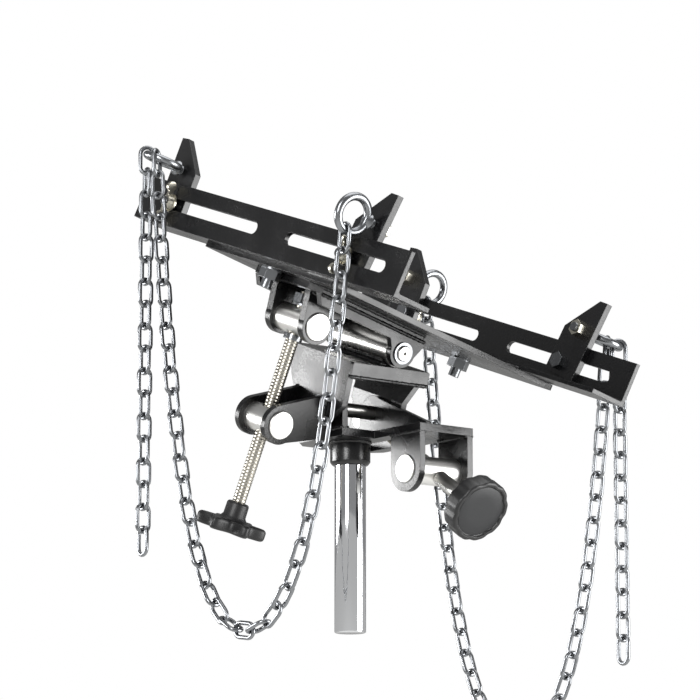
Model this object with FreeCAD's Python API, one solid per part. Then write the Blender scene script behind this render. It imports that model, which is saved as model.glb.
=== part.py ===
import FreeCAD, Part
import math
import os
from FreeCAD import Placement, Rotation, Vector as V

# Tilting saddle head of a telescopic transmission jack, on its ram.
# Row frame: origin at the centre of the ram's lower end, +Z up, +X towards the rear rail,
# -Y towards the adjusting knobs. Heights below are above the collar's top face, which is
# COLLAR_TOP above the origin. The saddle and the tilting yoke are drawn level and then
# turned to the stored pose.

# ---------------------------------------------------------------- overall sizes
COLLAR_TOP = 170.0        # ram length below the collar's top face
RAM_D = 28.0              # ram diameter
COLLAR_D = 36.0           # collar diameter
COLLAR_H = 21.0           # collar height
SPIGOT_D = 22.0           # ram inside the collar
SIDE_REST = 19.6          # side tilt in the stored pose, degrees
FORE_REST = 13.4          # fore tilt in the stored pose, degrees

# ---------------------------------------------------------------- pivots
SIDE_Y = -15.0            # side pivot axis, runs along X
SIDE_Z = 26.0
SIDE_SHAFT_D = 12.7
FORE_X = 5.0              # fore pivot axis, runs along Y at FORE_Z
FORE_PIN_D = 14.0
RUN_GAP = 0.05            # radial clearance of running fits
BODY_GAP = 0.5            # least side gap between bodies

# ---------------------------------------------------------------- base
BASE_T = 7.0              # base plate thickness
EAR_T = 6.0               # pivot ears and trunnion legs
EAR_R = 16.0              # pivot ear end radius
ARM_X0 = 2.0              # arm that carries the side screw
ARM_X1 = 62.0
ARM_Y = -96.0             # arm's front end
LEG_W = 40.0              # trunnion leg width

# ---------------------------------------------------------------- yokes
YOKE_X0 = -46.0           # lower yoke, outer faces
YOKE_X1 = 40.0
YOKE_Y0 = -46.0
YOKE_Y1 = 45.0
YOKE_TOP = 73.2
YOKE_T = 6.0
BARREL_D = 28.0           # fore pivot barrel, seated on the yoke
FORE_Z = YOKE_TOP + BARREL_D / 2
BARREL_HALF = 43.5
FLANGE_IN = 44.0          # upper yoke flanges, inner face
FLANGE_T = 6.0
UPPER_EAR_IN = 21.0
UPPER_EAR_T = 8.0
LOWER_EAR_IN = 17.0

# ---------------------------------------------------------------- trunnions and screws
TRUNNION_D = 25.0
UPPER_TR = (-77.1, 77.9)  # X, Z of the upper trunnion, saddle level
LOWER_TR = (-89.5, 6.7)   # X, Z of the lower trunnion, yoke level
FORE_SCREW_D = 12.0
FORE_SCREW_L = 195.0      # upper trunnion axis to the knob's outer face
LOWER_TR_HOLE_D = 15.2    # clearance: the linkage is opened here
LOWER_TR_HOLE_SHIFT = 1.06
SIDE_TR_X = 32.0          # middle of both side trunnions
SIDE_TR1 = (-75.5, -31.5) # Y, Z of the base trunnion
SIDE_TR2 = (12.0, 25.0)   # Y, Z of the yoke trunnion, stored pose
SIDE_TR2_D = 16.0
SIDE_SCREW_D = 10.0
SIDE_TR2_HOLE_D = 11.6    # clearance: the linkage is opened here
KNOB_D = 57.0
KNOB_BACK = 62.0          # trunnion axis to the knob's back face
KNOB_HUB = 11.0           # hub length behind it
STAR_D = 62.0

# ---------------------------------------------------------------- saddle
PLATE_X0 = -132.0
PLATE_X1 = 140.0
PLATE_HALF_Y = 100.0
PLATE_Z = FORE_Z + BARREL_D / 2 + 8.5      # underside
PLATE_T = 5.0
RAIL_HALF_L = 200.0
RAIL_LEG = 40.0
RAIL_T = 4.0
FRONT_WEB = -147.0        # outer face of the front rail's web
REAR_WEB = 134.0          # outer face of the rear rail's web
SLOT_H = 11.0
SLOT_L = 144.0
SLOT_Z = PLATE_Z + 26.0
SLOT_Y = (-102.4, 85.6)   # slot centres
BOLT_X = (-122.0, 113.0)  # saddle plate bolts
BOLT_Y = 4.0

# ---------------------------------------------------------------- finger brackets
FINGER_T = 6.0
FINGER_GAP = 0.3
FINGER_Z = PLATE_Z + 11.3
FINGER = ((0.0, 0.0), (-6.0, 76.0), (4.0, 76.5), (36.0, 47.0), (39.0, 5.0))
CLAMP_AT = (24.0, 14.7)   # inwards from the tall edge, up from the foot
EYE_AT = (12.0, 47.0)
EYE_R = 15.2
EYE_WIRE = 7.2
EYE_OUT = 18.0            # ring centre outwards from the rail's web
BRACKETS = {              # name: (rail side, tall edge Y, inward sense)
    "front_left": (-1, 176.0, -1),
    "front_right": (-1, -143.0, 1),
    "rear_left": (1, 143.0, -1),
    "rear_right": (1, -136.0, 1),
}
FLAT_EYES = ("front_left", "rear_right")   # rings lying flat, each with a chain tail

# ---------------------------------------------------------------- chains
LINK_WIRE = 3.8
LINK_PITCH = 20.3
LINK_IN_L = 20.5
LINK_IN_W = 8.4
LINK_GAP = 0.5            # link to eye ring
SWING_GAP = 0.3           # extra play between a tail's first link and its strand
LOOP_LINKS = {"front": 42, "rear": 42}
TAIL_LINKS = {"front": 18, "rear": 14}
EYE_SPREAD = 30.0         # loop and tail either side of a flat ring's outermost point
EYE_LEAN = 3.0            # loop outwards of an upright ring's lowest point

SIDE = Placement(V(), Rotation(V(1, 0, 0), SIDE_REST), V(0, SIDE_Y, SIDE_Z))
FORE = Placement(V(), Rotation(V(0, 1, 0), FORE_REST), V(FORE_X, 0, FORE_Z))
UP = Placement(V(0, 0, COLLAR_TOP), Rotation())
BASE = UP
MID = UP.multiply(SIDE)
SADDLE = MID.multiply(FORE)
X, Y, Z = V(1, 0, 0), V(0, 1, 0), V(0, 0, 1)


# ---------------------------------------------------------------- solids
def box(x0, x1, y0, y1, z0, z1):
    return Part.makeBox(x1 - x0, y1 - y0, z1 - z0, V(x0, y0, z0))


def rod(start, way, radius, length):
    return Part.makeCylinder(radius, length, V(*start), V(*way))


def tube(start, way, outer, inner, length):
    return rod(start, way, outer, length).cut(rod(start, way, inner, length))


def prism(points, way, depth):
    face = Part.Face(Part.makePolygon([V(*p) for p in points] + [V(*points[0])]))
    return face.extrude(V(*way) * depth)


def prism_x(points, x0, x1):
    return prism([(x0, y, z) for y, z in points], X, x1 - x0)


def prism_y(points, y0, y1):
    return prism([(x, y0, z) for x, z in points], Y, y1 - y0)


def prism_z(points, z0, z1):
    return prism([(x, y, z0) for x, y in points], Z, z1 - z0)


def frame_of(way):
    way = V(*way).normalize()
    side = way.cross(X if abs(way.x) < 0.9 else Y).normalize()
    return way, side, way.cross(side)


def hexagon(start, way, across, length):
    way, side, up = frame_of(way)
    reach = across / math.sqrt(3.0)
    turns = [math.radians(60.0 * i) for i in range(6)]
    points = [V(*start) + side * (reach * math.cos(t)) + up * (reach * math.sin(t)) for t in turns]
    return prism([tuple(p) for p in points], way, length)


def chamfered(shape, size, where):
    edges = [e for e in shape.Edges if where(e)]
    return shape.makeChamfer(size, edges)


def filleted(shape, size, where):
    edges = [e for e in shape.Edges if where(e)]
    return shape.makeFillet(size, edges)


def along(edge, way):
    if not isinstance(edge.Curve, Part.Line):
        return False
    return abs(abs(edge.tangentAt(edge.FirstParameter).dot(way)) - 1.0) < 1e-6


def group(solids):
    return Part.makeCompound(solids)


def save(name, shape, placement=UP):
    shape = shape.copy()
    shape.Placement = placement.multiply(shape.Placement)
    shape.exportStep("parts/" + name + ".step")


# ---------------------------------------------------------------- base body
def make_ram():
    ram = rod((0, 0, -COLLAR_TOP), Z, RAM_D / 2, COLLAR_TOP - COLLAR_H)
    return ram.fuse(rod((0, 0, -COLLAR_H), Z, SPIGOT_D / 2, COLLAR_H)).removeSplitter()


def make_collar():
    collar = rod((0, 0, -COLLAR_H), Z, COLLAR_D / 2, COLLAR_H)
    collar = chamfered(collar, 3.0, lambda e: e.CenterOfMass.z < 1 - COLLAR_H)
    collar = collar.cut(rod((0, 0, -COLLAR_H), Z, SPIGOT_D / 2, COLLAR_H))
    return collar.cut(rod((0, 0, -COLLAR_H / 2), Y, 3.0, COLLAR_D))


def make_collar_screw():
    start = SPIGOT_D / 2
    screw = rod((0, start, -COLLAR_H / 2), Y, 2.95, 8.0)
    return screw.cut(hexagon((0, start + 5.0, -COLLAR_H / 2), Y, 3.0, 4.0))


def make_base_plate():
    outline = [(-34, -32), (ARM_X0, -32), (ARM_X0, ARM_Y), (ARM_X1, ARM_Y), (ARM_X1, 30),
               (48, 44), (-20, 44), (-34, 30)]
    plate = prism_z(outline, 0, BASE_T)
    return plate.cut(box(18.5, 48, -48, 36, -1, BASE_T + 1))


def make_base_ear(x0, gusset):
    top = [(SIDE_Y - EAR_R, BASE_T), (SIDE_Y + EAR_R + 4, BASE_T), (SIDE_Y + EAR_R, SIDE_Z),
           (SIDE_Y - EAR_R, SIDE_Z)]
    ear = prism_x(top, x0, x0 + EAR_T).fuse(rod((x0, SIDE_Y, SIDE_Z), X, EAR_R, EAR_T))
    if gusset:
        rib = [(SIDE_Y + 5, BASE_T), (SIDE_Y + 5, SIDE_Z + EAR_R - 1), (SIDE_Y - 1, SIDE_Z + EAR_R),
               (ARM_Y + 4, BASE_T + 2), (ARM_Y + 4, BASE_T)]
        ear = ear.fuse(prism_x(rib, x0, x0 + EAR_T))
    hole = rod((x0 - 1, SIDE_Y, SIDE_Z), X, SIDE_SHAFT_D / 2 + RUN_GAP, EAR_T + 2)
    return ear.cut(hole).removeSplitter()


def make_side_shaft():
    shaft = rod((-50.5, SIDE_Y, SIDE_Z), X, SIDE_SHAFT_D / 2, 80.5)
    return chamfered(shaft, 1.0, lambda e: abs(e.Length - math.pi * SIDE_SHAFT_D) < 0.1)


def make_shaft_rings():
    radius = SIDE_SHAFT_D / 2
    spots = ((-48.6, 2.0, 10.5), (-39.5, 6.0, 9.5), (25.6, 2.0, 10.5))
    return group([tube((x, SIDE_Y, SIDE_Z), X, outer, radius, t) for x, t, outer in spots])


def make_trunnion_leg(x0):
    y, z = SIDE_TR1
    half = LEG_W / 2
    leg = box(x0, x0 + EAR_T, y - half, y + half, z, 0)
    leg = leg.fuse(rod((x0, y, z), X, half, EAR_T))
    return leg.cut(rod((x0 - 1, y, z), X, TRUNNION_D / 2 + RUN_GAP, EAR_T + 2)).removeSplitter()


# ---------------------------------------------------------------- lower yoke, drawn level
def local_yoke(point):
    x, y, z = SIDE.inverse().multVec(V(*point))
    return x, y, z


def make_mid_yoke():
    tr2 = local_yoke((SIDE_TR_X, *SIDE_TR2))
    inner = YOKE_TOP - YOKE_T
    shell = box(YOKE_X0, YOKE_X1, YOKE_Y0, YOKE_Y1, inner, YOKE_TOP)
    left = [(YOKE_Y0, YOKE_TOP), (YOKE_Y0, 33), (-26, 14), (-26, -2), (26, -2), (28, 34),
            (36, 46), (YOKE_Y1, 68), (YOKE_Y1, YOKE_TOP)]
    shell = shell.fuse(prism_x(left, YOKE_X0, YOKE_X0 + YOKE_T))
    bend = [(34, YOKE_TOP), (YOKE_X1, YOKE_TOP), (YOKE_X1, inner), (25, 42), (25, 0), (19, 0),
            (19, 42), (34, inner)]
    right = [(YOKE_Y0, YOKE_TOP), (YOKE_Y0, 35), (-30, 16), (-15, 10.5), (-1, tr2[2] - 11),
             (21, tr2[2] - 11), (24, 30), (YOKE_Y1, 48), (YOKE_Y1, YOKE_TOP)]
    leg = prism_y(bend, YOKE_Y0, YOKE_Y1).common(prism_x(right, 10, 50))
    shell = shell.fuse(leg)
    seat = box(FORE_X - 11, FORE_X + 11, -38, 38, YOKE_TOP, YOKE_TOP + 4)
    shell = shell.fuse(seat.cut(rod((FORE_X, -50, FORE_Z), Y, BARREL_D / 2, 100)))
    shell = shell.cut(rod((0, 40, 38), X, 13, 60))
    shell = shell.cut(rod((-60, SIDE_Y, SIDE_Z), X, SIDE_SHAFT_D / 2 + 2 * RUN_GAP, 100))
    return shell.cut(rod((10, tr2[1], tr2[2]), X, SIDE_TR2_D / 2 + RUN_GAP, 20)).removeSplitter()


def make_mid_front():
    plate = box(YOKE_X0, YOKE_X1, YOKE_Y0 - 4, YOKE_Y0, YOKE_TOP - 12.5, YOKE_TOP)
    return filleted(plate, 2.0, lambda e: along(e, Y))


def make_side_lug():
    y, z = local_yoke((SIDE_TR_X, *SIDE_TR2))[1:]
    lug = box(YOKE_X1, YOKE_X1 + YOKE_T, y - 11, y + 11, z, YOKE_TOP)
    lug = lug.fuse(rod((YOKE_X1, y, z), X, 11, YOKE_T))
    return lug.cut(rod((YOKE_X1 - 1, y, z), X, SIDE_TR2_D / 2 + RUN_GAP, YOKE_T + 2)).removeSplitter()


def make_lower_ear(y0):
    x, z = LOWER_TR
    outline = [(YOKE_X0, 38), (x - 5, z + 16.8), (x - 2.5, z - 17.3), (YOKE_X0, -2)]
    ear = prism_y(outline, y0, y0 + EAR_T).fuse(rod((x, y0, z), Y, 17.5, EAR_T))
    ear = ear.cut(rod((YOKE_X0 - 5.0, SIDE_Y, SIDE_Z), X, 11.3, 6.0))
    return ear.cut(rod((x, y0 - 1, z), Y, TRUNNION_D / 2 + RUN_GAP, EAR_T + 2)).removeSplitter()


def make_barrel():
    start = (FORE_X, -BARREL_HALF, FORE_Z)
    return tube(start, Y, BARREL_D / 2, FORE_PIN_D / 2 + RUN_GAP, 2 * BARREL_HALF)


# ---------------------------------------------------------------- saddle, drawn level
def make_upper_yoke():
    top = prism_z([(-112, -40), (-102, -50), (20, -50), (28, -42), (28, 42), (20, 50), (-102, 50),
                   (-112, 40)], PLATE_Z - 6, PLATE_Z)
    return top.cut(box(-102, -50, -20.5, 20.5, PLATE_Z - 7, PLATE_Z + 1))


def make_pivot_flange(y0):
    low = PLATE_Z - 15
    high = PLATE_Z - 6
    outline = [(-104, high), (-98, low), (-14, low), (-8.5, FORE_Z), (18.5, FORE_Z), (26, high)]
    flange = prism_y(outline, y0, y0 + FLANGE_T)
    flange = flange.fuse(rod((FORE_X, y0, FORE_Z), Y, 13.5, FLANGE_T))
    hole = rod((FORE_X, y0 - 1, FORE_Z), Y, FORE_PIN_D / 2, FLANGE_T + 2)
    return flange.cut(hole).removeSplitter()


def make_upper_ear(y0):
    x, z = UPPER_TR
    high = PLATE_Z - 6
    outline = [(x - 22, high), (x - 16, z), (x + 16, z), (x + 26, high)]
    ear = prism_y(outline, y0, y0 + UPPER_EAR_T).fuse(rod((x, y0, z), Y, 16, UPPER_EAR_T))
    hole = rod((x, y0 - 1, z), Y, TRUNNION_D / 2 + RUN_GAP, UPPER_EAR_T + 2)
    return ear.cut(hole).removeSplitter()


def make_fore_pin():
    half = FLANGE_IN + FLANGE_T + 3.5
    pin = rod((FORE_X, -half, FORE_Z), Y, FORE_PIN_D / 2, 2 * half)
    pin = chamfered(pin, 0.8, lambda e: abs(e.Length - math.pi * FORE_PIN_D) < 0.1)
    for y in (-half, half - 3):
        pin = pin.cut(rod((FORE_X, y, FORE_Z), Y, 1.6, 3))
    return pin


def make_pin_rings():
    face = FLANGE_IN + FLANGE_T
    return group([tube((FORE_X, y, FORE_Z), Y, 9.8, FORE_PIN_D / 2, 1.5) for y in (-face - 1.5, face)])


def make_saddle_plate():
    plate = box(PLATE_X0, PLATE_X1, -PLATE_HALF_Y, PLATE_HALF_Y, PLATE_Z, PLATE_Z + PLATE_T)
    plate = filleted(plate, 4.0, lambda e: along(e, Z))
    for x in BOLT_X:
        plate = plate.cut(rod((x, BOLT_Y, PLATE_Z - 1), Z, 5.0, PLATE_T + 2))
    return plate


def make_plate_bolts():
    top = PLATE_Z + PLATE_T + RAIL_T
    solids = []
    for x in BOLT_X:
        head = rod((x, BOLT_Y, top), Z, 9.0, 4.5)
        shank = rod((x, BOLT_Y, PLATE_Z - 18), Z, 4.9, 18 + PLATE_T + RAIL_T)
        solids.append(head.fuse(shank).removeSplitter())
    return group(solids)


def make_plate_nuts():
    solids = []
    for x in BOLT_X:
        nut = hexagon((x, BOLT_Y, PLATE_Z - 10), Z, 17.0, 8.4)
        washer = rod((x, BOLT_Y, PLATE_Z - 1.6), Z, 9.5, 1.6)
        body = nut.fuse(washer).removeSplitter()
        solids.append(body.cut(rod((x, BOLT_Y, PLATE_Z - 12), Z, 4.9, 14)))
    return group(solids)


def slot(x0, x1, y):
    reach = SLOT_L / 2 - SLOT_H / 2
    half = SLOT_H / 2
    cutter = box(x0, x1, y - reach, y + reach, SLOT_Z - half, SLOT_Z + half)
    for end in (y - reach, y + reach):
        cutter = cutter.fuse(rod((x0, end, SLOT_Z), X, half, x1 - x0))
    return cutter


def make_rail(side):
    face = FRONT_WEB if side < 0 else REAR_WEB
    z0 = PLATE_Z + PLATE_T
    web = -side * RAIL_T
    leg = -side * RAIL_LEG
    outline = [(face, z0), (face + leg, z0), (face + leg, z0 + RAIL_T), (face + web, z0 + RAIL_T),
               (face + web, z0 + RAIL_LEG), (face, z0 + RAIL_LEG)]
    rail = prism_y(outline, -RAIL_HALF_L, RAIL_HALF_L)
    corner = (face + web, z0 + RAIL_T)
    rail = filleted(rail, 1.9, lambda e: along(e, Y) and abs(e.CenterOfMass.x - corner[0]) < 0.01
                    and abs(e.CenterOfMass.z - corner[1]) < 0.01)
    for y in SLOT_Y:
        rail = rail.cut(slot(face - 6, face + 6, y))
    x = BOLT_X[0] if side < 0 else BOLT_X[1]
    return rail.cut(rod((x, BOLT_Y, z0 - 1), Z, 5.0, RAIL_T + 2))


# ---------------------------------------------------------------- finger brackets
def bracket_spot(name, at):
    side, tall, inward = BRACKETS[name]
    face = (FRONT_WEB if side < 0 else REAR_WEB) - side * (RAIL_T + FINGER_GAP)
    return face, tall + inward * at[0], FINGER_Z + at[1]


def make_finger(name):
    side, tall, inward = BRACKETS[name]
    face = bracket_spot(name, (0, 0))[0]
    points = [(tall + inward * s, FINGER_Z + t) for s, t in FINGER]
    x0 = min(face, face - side * FINGER_T)
    finger = prism_x(points, x0, x0 + FINGER_T)
    for at in (CLAMP_AT, EYE_AT):
        y, z = bracket_spot(name, at)[1:]
        finger = finger.cut(rod((x0 - 1, y, z), X, 4.0, FINGER_T + 2))
    return finger


def make_clamp_bolt(name):
    side = BRACKETS[name][0]
    face, y, z = bracket_spot(name, CLAMP_AT)
    inner = face - side * FINGER_T
    way = (side, 0, 0)
    back = (-side, 0, 0)
    head = hexagon((inner, y, z), back, 13.0, 5.5)
    shank = rod((inner - side * 5.5, y, z), way, 4.0, 5.5 + FINGER_T + RAIL_T + 9.5)
    return head.fuse(shank).removeSplitter()


def make_wing_nut(name):
    side = BRACKETS[name][0]
    y, z = bracket_spot(name, CLAMP_AT)[1:]
    face = (FRONT_WEB if side < 0 else REAR_WEB) + side * FINGER_GAP
    nut = rod((face, y, z), (side, 0, 0), 8.5, 1.5)
    nut = nut.fuse(Part.makeCone(7.0, 5.5, 7.0, V(face, y, z), V(side, 0, 0)))
    x0 = min(face + side * 2.5, face + side * 7.0)
    nut = nut.fuse(box(x0, x0 + 4.5, y - 1.4, y + 1.4, z - 14, z + 14))
    for end in (z - 14, z + 14):
        nut = nut.fuse(rod((face + side * 6.0, y - 1.4, end), Y, 4.5, 2.8))
    return nut.cut(rod((face - side, y, z), (side, 0, 0), 4.0, 20))


def eye_centre(name):
    side = BRACKETS[name][0]
    face = FRONT_WEB if side < 0 else REAR_WEB
    y, z = bracket_spot(name, EYE_AT)[1:]
    return V(face + side * EYE_OUT, y, z)


def make_eye_bolt(name):
    side = BRACKETS[name][0]
    centre = eye_centre(name)
    ring = Part.makeTorus(EYE_R, EYE_WIRE / 2, centre, Z if name in FLAT_EYES else Y)
    face = bracket_spot(name, EYE_AT)[0]
    inner = face - side * (FINGER_T + 12.0)
    reach = abs(centre.x - side * (EYE_R - 1.0) - inner)
    start = (inner, centre.y, centre.z)
    shank = rod(start, (side, 0, 0), 4.0, reach)
    foot = (centre.x - side * EYE_OUT + side * FINGER_GAP, centre.y, centre.z)
    shoulder = Part.makeCone(7.0, 5.0, 3.5, V(*foot), V(side, 0, 0))
    return ring.fuse(shank).fuse(shoulder).removeSplitter()


def make_eye_nut(name):
    side = BRACKETS[name][0]
    face, y, z = bracket_spot(name, EYE_AT)
    start = (face - side * FINGER_T, y, z)
    nut = hexagon(start, (-side, 0, 0), 13.0, 9.5)
    return nut.cut(rod(start, (-side, 0, 0), 4.0, 20))


# ---------------------------------------------------------------- fore screw, yoke level
def upper_trunnion_now():
    return FORE.multVec(V(UPPER_TR[0], 0, UPPER_TR[1]))


def fore_way():
    return (V(LOWER_TR[0], 0, LOWER_TR[1]) - upper_trunnion_now()).normalize()


def make_upper_trunnion():
    centre = upper_trunnion_now()
    half = UPPER_EAR_IN + UPPER_EAR_T + 2
    body = rod(tuple(centre - Y * half), Y, TRUNNION_D / 2, 2 * half)
    body = chamfered(body, 0.8, lambda e: abs(e.Length - math.pi * TRUNNION_D) < 0.1)
    hole = rod(tuple(centre - fore_way() * 20), fore_way(), FORE_SCREW_D / 2 + RUN_GAP, 40)
    return body.cut(hole)


def make_lower_trunnion():
    centre = V(LOWER_TR[0], 0, LOWER_TR[1])
    half = LOWER_EAR_IN + EAR_T + 2
    body = rod(tuple(centre - Y * half), Y, TRUNNION_D / 2, 2 * half)
    body = chamfered(body, 0.8, lambda e: abs(e.Length - math.pi * TRUNNION_D) < 0.1)
    way = fore_way()
    centre = centre + V(-way.z, 0, way.x) * LOWER_TR_HOLE_SHIFT
    return body.cut(rod(tuple(centre - way * 20), way, LOWER_TR_HOLE_D / 2, 40))


def make_fore_screw():
    top = upper_trunnion_now()
    start = top - fore_way() * (TRUNNION_D / 2 + 13.0)
    length = TRUNNION_D / 2 + 13.0 + FORE_SCREW_L - 4.0
    return rod(tuple(start), fore_way(), FORE_SCREW_D / 2, length)


def make_screw_nuts():
    top = upper_trunnion_now()
    way = fore_way()
    washer = rod(tuple(top - way * (TRUNNION_D / 2 + 0.4)), tuple(-way), 11.0, 2.0)
    nut = hexagon(tuple(top - way * (TRUNNION_D / 2 + 2.4)), tuple(-way), 18.0, 8.5)
    stop = rod(tuple(top + way * (TRUNNION_D / 2 + 0.4)), tuple(way), 8.5, 5.0)
    hole = rod(tuple(top - way * 40), tuple(way), FORE_SCREW_D / 2, 80)
    return group([washer.fuse(nut).removeSplitter().cut(hole), stop.cut(hole)])


def make_star_knob():
    way, side, up = frame_of(tuple(fore_way()))
    end = upper_trunnion_now() + way * FORE_SCREW_L
    hub = rod(tuple(end - way * 27), way, 10.0, 20)
    body = rod(tuple(end - way * 11), way, 19.0, 11)
    for i in range(6):
        turn = math.radians(60 * i + 10)
        spoke = side * math.cos(turn) + up * math.sin(turn)
        lobe = rod(tuple(end - way * 11 + spoke * (STAR_D / 2 - 8.5)), way, 8.5, 11)
        body = body.fuse(lobe)
    body = body.fuse(hub).removeSplitter()
    hole = rod(tuple(end - way * 40), way, FORE_SCREW_D / 2, 36)
    return body.cut(hole)


# ---------------------------------------------------------------- side screw, stored pose
def side_way():
    return (V(0, *SIDE_TR2) - V(0, *SIDE_TR1)).normalize()


def make_side_trunnion():
    y, z = SIDE_TR1
    body = rod((ARM_X0 - 1.5, y, z), X, TRUNNION_D / 2, ARM_X1 - ARM_X0 + 3)
    body = chamfered(body, 0.8, lambda e: abs(e.Length - math.pi * TRUNNION_D) < 0.1)
    centre = V(SIDE_TR_X, y, z)
    return body.cut(rod(tuple(centre - side_way() * 20), side_way(), SIDE_SCREW_D / 2 + RUN_GAP, 40))


def make_yoke_trunnion():
    centre = V(SIDE_TR_X, *SIDE_TR2)
    body = rod((18.6, *SIDE_TR2), X, SIDE_TR2_D / 2, 28.6)
    return body.cut(rod(tuple(centre - side_way() * 20), side_way(), SIDE_TR2_HOLE_D / 2, 40))


def make_side_screw():
    centre = V(SIDE_TR_X, *SIDE_TR1)
    start = centre - side_way() * 70
    return rod(tuple(start), side_way(), SIDE_SCREW_D / 2, 70 + 127)


def make_side_sleeve():
    centre = V(SIDE_TR_X, *SIDE_TR1)
    way = side_way()
    outer = TRUNNION_D / 2 + 0.4
    length = KNOB_BACK - KNOB_HUB - 0.1 - outer
    sleeve = tube(tuple(centre - way * outer), tuple(-way), 6.8, SIDE_SCREW_D / 2, length)
    ring = tube(tuple(centre + way * outer), tuple(way), 8.5, SIDE_SCREW_D / 2, 5)
    return group([sleeve, ring])


def make_side_knob():
    way, side, up = frame_of(tuple(-side_way()))
    centre = V(SIDE_TR_X, *SIDE_TR1)
    back = centre + way * KNOB_BACK
    hub = rod(tuple(back - way * KNOB_HUB), way, 11.0, KNOB_HUB + 1)
    body = rod(tuple(back), way, KNOB_D / 2, 17)
    body = body.fuse(hub).removeSplitter()
    for i in range(9):
        turn = math.radians(40 * i + 8)
        spoke = side * math.cos(turn) + up * math.sin(turn)
        body = body.cut(rod(tuple(back - way + spoke * (KNOB_D / 2 + 14.5)), way, 17.0, 20))
    body = body.cut(rod(tuple(back + way * 15), way, 23.3, 3))
    return body.cut(rod(tuple(centre), way, SIDE_SCREW_D / 2, 70))


# ---------------------------------------------------------------- chains
def link_solid():
    radius = LINK_WIRE / 2
    bend = (LINK_IN_W + LINK_WIRE) / 2
    half = LINK_IN_L / 2 - LINK_IN_W / 2
    path = Part.Wire([
        Part.makeLine(V(-half, bend, 0), V(half, bend, 0)),
        Part.Arc(V(half, bend, 0), V(half + bend, 0, 0), V(half, -bend, 0)).toShape(),
        Part.makeLine(V(half, -bend, 0), V(-half, -bend, 0)),
        Part.Arc(V(-half, -bend, 0), V(-half - bend, 0, 0), V(-half, bend, 0)).toShape()])
    profile = Part.Wire([Part.makeCircle(radius, V(-half, bend, 0), X)])
    return path.makePipeShell([profile], True, False)


def placed_link(link, a, b, yaw):
    # the link's long axis along a-b; yaw 0 lies in the YZ plane, 90 square to it
    way = (b - a).normalize()
    across = X.cross(way).normalize()
    turn = math.radians(yaw)
    flat = across * math.cos(turn) + way.cross(across) * math.sin(turn)
    third = way.cross(flat)
    m = FreeCAD.Matrix(way.x, flat.x, third.x, 0, way.y, flat.y, third.y, 0,
                       way.z, flat.z, third.z, 0, 0, 0, 0, 1)
    copy = link.copy()
    copy.Placement = Placement((a + b) * 0.5, Rotation(m))
    return copy


def catenary_size(span, target):
    low, high = 5.0, 10000.0
    for _ in range(200):
        c = (low + high) / 2
        grows = 2 * c * math.sinh(span / (2 * c))
        low, high = (c, high) if grows > target else (low, c)
    return c


def hanging_curve(a, b, count):
    # catenary from a to b as count + 1 points, one link pitch apart
    length = count * LINK_PITCH
    flat = V(b.x - a.x, b.y - a.y, 0)
    span = flat.Length
    rise = b.z - a.z
    c = catenary_size(span, math.sqrt(length ** 2 - rise ** 2))
    left = c * math.atanh(rise / length) - span / 2
    points = []
    for i in range(count + 1):
        t = c * math.asinh(math.sinh(left / c) + length * i / count / c)
        drop = c * math.cosh(t / c) - c * math.cosh(left / c)
        points.append(a + flat * ((t - left) / span) + Z * drop)
    return points


def upright_hang(name):
    # where a chain hangs from an upright ring: near its lowest point
    lean = math.radians(EYE_LEAN)
    side = BRACKETS[name][0]
    way = V(side * math.sin(lean), 0, -math.cos(lean))
    wire = SADDLE.multVec(eye_centre(name) + way * EYE_R)
    slope = lean - side * math.radians(FORE_REST)
    return wire + Z * ((EYE_WIRE / 2) / math.cos(slope) + LINK_GAP)


def flat_hang(name, sense):
    # where a chain hangs over a flat ring: sense -1 or 1 picks the side in Y
    side = BRACKETS[name][0]
    spread = math.radians(EYE_SPREAD)
    way = V(side * math.cos(spread), sense * math.sin(spread), 0)
    wire = SADDLE.multVec(eye_centre(name) + way * EYE_R)
    return wire + Z * ((EYE_WIRE / 2) / math.cos(math.radians(SIDE_REST)) + LINK_GAP)


def chain(points, yaws, back=False):
    # yaws are for the first links; the rest alternate between 0 and 90
    link = link_solid()
    ends = list(zip(points, points[1:]))
    ends = ends[::-1] if back else ends
    solids = []
    for i, (a, b) in enumerate(ends):
        yaw = yaws[i] if i < len(yaws) else (yaws[-1] + 90 * (i - len(yaws) + 1)) % 180
        solids.append(placed_link(link, a, b, yaw))
    return solids


def make_front_loop():
    start = flat_hang("front_left", -1)
    end = upright_hang("front_right")
    points = hanging_curve(start, end, LOOP_LINKS["front"])
    return group(chain(points, (90 - EYE_SPREAD, -EYE_SPREAD / 2, 90)))


def make_rear_loop():
    start = upright_hang("rear_left")
    end = flat_hang("rear_right", 1)
    points = hanging_curve(start, end, LOOP_LINKS["rear"])
    return group(chain(points, (90 + EYE_SPREAD, EYE_SPREAD / 2, 90), True))


def make_tail(rail):
    name = "front_left" if rail == "front" else "rear_right"
    start = flat_hang(name, 1 if rail == "front" else -1)
    count = TAIL_LINKS[rail]
    points = [start - Z * (LINK_PITCH * i) for i in range(count + 1)]
    links = chain(points, (90 + EYE_SPREAD, EYE_SPREAD / 2, 90))
    for link in links[1:]:
        link.translate(Z * SWING_GAP)
    return links


# ---------------------------------------------------------------- write every node
def save_base():
    save("ram", make_ram())
    save("ram_collar", make_collar())
    save("collar_screw", make_collar_screw())
    save("base_plate", make_base_plate())
    save("base_ear_left", make_base_ear(-33.0, False))
    save("base_ear_right", make_base_ear(12.0, True))
    save("side_pivot_shaft", make_side_shaft())
    save("side_pivot_rings", make_shaft_rings())
    save("trunnion_leg_left", make_trunnion_leg(ARM_X0))
    save("trunnion_leg_right", make_trunnion_leg(ARM_X1 - EAR_T))


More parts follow.
